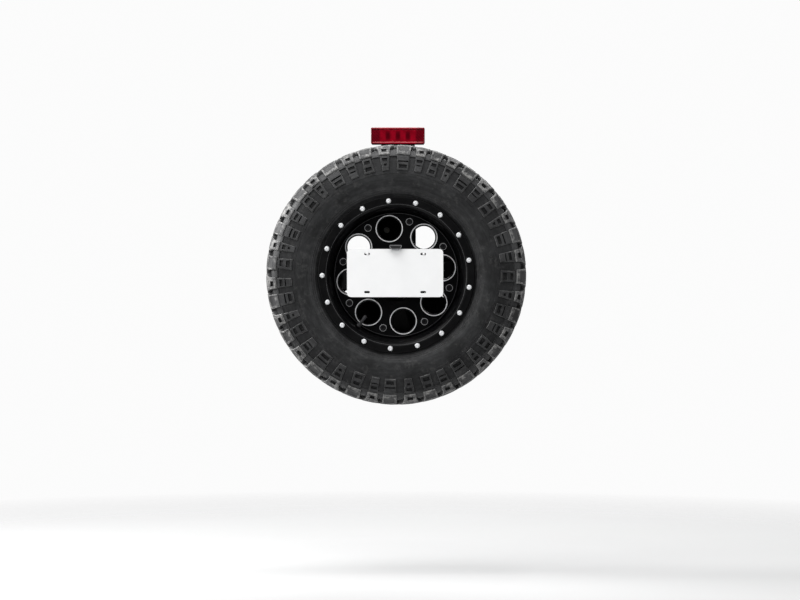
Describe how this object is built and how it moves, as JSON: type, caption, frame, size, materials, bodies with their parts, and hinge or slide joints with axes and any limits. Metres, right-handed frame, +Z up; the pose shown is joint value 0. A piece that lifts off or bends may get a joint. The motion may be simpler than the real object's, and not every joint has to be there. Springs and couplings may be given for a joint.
{
  "type": "spare tire carrier",
  "caption": "Tailgate-mounted spare tire carrier holding an off-road spare wheel, with a sliding high brake lamp mast and a number plate mount on the wheel.",
  "frame": {"origin": "where the spare wheel's axis meets the plane of the tailgate skin, on the base plate's back face", "axes": "+Y along the wheel's axis into the tailgate, +X to the right seen from behind the vehicle, +Z up"},
  "size_m": [0.831, 0.352, 0.898],
  "materials": {
    "tyre": "dry, slightly dusty black tread and sidewall",
    "wheel_paint": "gloss black",
    "ring_paint": "gloss black",
    "valve_rubber": "satin",
    "ring_bolts": "bright zinc",
    "face_bolts": "satin black",
    "carrier_paint": "textured satin black",
    "mast_paint": "textured satin black",
    "bracket_paint": "textured satin black",
    "wheel_studs": "zinc",
    "lug_nuts": "zinc",
    "zinc_bolts": "dull zinc",
    "buffer_rubber": "matt",
    "lamp_plastic": "grained black",
    "red_lens": "clear red, gloss",
    "reflector": "bright metallised plastic",
    "plate_sheet": "white reflective face",
    "plate_screws": "bright zinc",
    "clear_lens": "clear"
  },
  "bodies": {
    "carrier": {"base_plate": "carrier_paint", "leg_left": "carrier_paint", "leg_right": "carrier_paint", "leg_bottom": "carrier_paint", "mounting_plate": "carrier_paint", "wheel_stud_1": "wheel_studs", "wheel_stud_2": "wheel_studs", "wheel_stud_3": "wheel_studs", "tailgate_bolt_1": "zinc_bolts", "tailgate_bolt_2": "zinc_bolts", "tailgate_bolt_3": "zinc_bolts", "tailgate_bolt_4": "zinc_bolts", "mast_bolt_left": "zinc_bolts", "mast_bolt_right": "zinc_bolts"},
    "bump_stop_left": {"bump_stop_left": "buffer_rubber"},
    "bump_stop_right": {"bump_stop_right": "buffer_rubber"},
    "lamp": {"lamp_mast": "mast_paint", "lamp_housing": "lamp_plastic", "lamp_lens": "red_lens", "lamp_reflector": "reflector"},
    "wheel": {"tyre": "tyre", "wheel_barrel": "wheel_paint", "wheel_disc": "wheel_paint", "beadlock_ring": "ring_paint", "ring_bolt_01": "ring_bolts", "ring_bolt_02": "ring_bolts", "ring_bolt_03": "ring_bolts", "ring_bolt_04": "ring_bolts", "ring_bolt_05": "ring_bolts", "ring_bolt_06": "ring_bolts", "ring_bolt_07": "ring_bolts", "ring_bolt_08": "ring_bolts", "ring_bolt_09": "ring_bolts", "ring_bolt_10": "ring_bolts", "ring_bolt_11": "ring_bolts", "ring_bolt_12": "ring_bolts", "ring_bolt_13": "ring_bolts", "ring_bolt_14": "ring_bolts", "ring_bolt_15": "ring_bolts", "ring_bolt_16": "ring_bolts", "ring_bolt_17": "ring_bolts", "face_bolt_1": "face_bolts", "face_bolt_2": "face_bolts", "face_bolt_3": "face_bolts", "face_bolt_4": "face_bolts", "face_bolt_5": "face_bolts", "face_bolt_6": "face_bolts", "face_bolt_7": "face_bolts", "face_bolt_8": "face_bolts", "valve_stem": "valve_rubber"},
    "plate_bracket": {"plate_bracket": "bracket_paint"},
    "plate_holder": {"plate_holder": "bracket_paint", "number_plate": "plate_sheet", "plate_screw_left": "plate_screws", "plate_screw_right": "plate_screws", "plate_lamp": "lamp_plastic", "plate_lamp_lens": "clear_lens"},
    "lug_nut_1": {"lug_nut_1": "lug_nuts"},
    "lug_nut_2": {"lug_nut_2": "lug_nuts"},
    "lug_nut_3": {"lug_nut_3": "lug_nuts"}
  },
  "joints": [
    {"name": "lamp_height", "type": "slide", "parent": "carrier", "child": "lamp", "axis": [0, 0, 1], "range_m": [0, 0.05]},
    {"name": "wheel_removal", "type": "slide", "parent": "carrier", "child": "wheel", "axis": [0, -1, 0], "range_m": [0, 0.12]},
    {"name": "bracket_removal", "type": "slide", "parent": "wheel", "child": "plate_bracket", "axis": [0, -1, 0], "range_m": [0, 0.05]},
    {"name": "plate_depth", "type": "slide", "parent": "plate_bracket", "child": "plate_holder", "axis": [0, -1, 0], "range_m": [-0.015, 0.03]},
    {"name": "buffer_left", "type": "slide", "parent": "carrier", "child": "bump_stop_left", "axis": [0, 1, 0], "range_m": [0, 0.006]},
    {"name": "buffer_right", "type": "slide", "parent": "carrier", "child": "bump_stop_right", "axis": [0, 1, 0], "range_m": [0, 0.006]},
    {"name": "lug_nut_1_turn", "type": "hinge", "parent": "plate_bracket", "child": "lug_nut_1", "pos_m": [0, -0.21, 0.0635], "axis": [0, -1, 0], "continuous": true},
    {"name": "lug_nut_2_turn", "type": "hinge", "parent": "plate_bracket", "child": "lug_nut_2", "pos_m": [0.03732, -0.21, -0.05137], "axis": [0, -1, 0], "continuous": true},
    {"name": "lug_nut_3_turn", "type": "hinge", "parent": "plate_bracket", "child": "lug_nut_3", "pos_m": [-0.03732, -0.21, -0.05137], "axis": [0, -1, 0], "continuous": true}
  ]
}
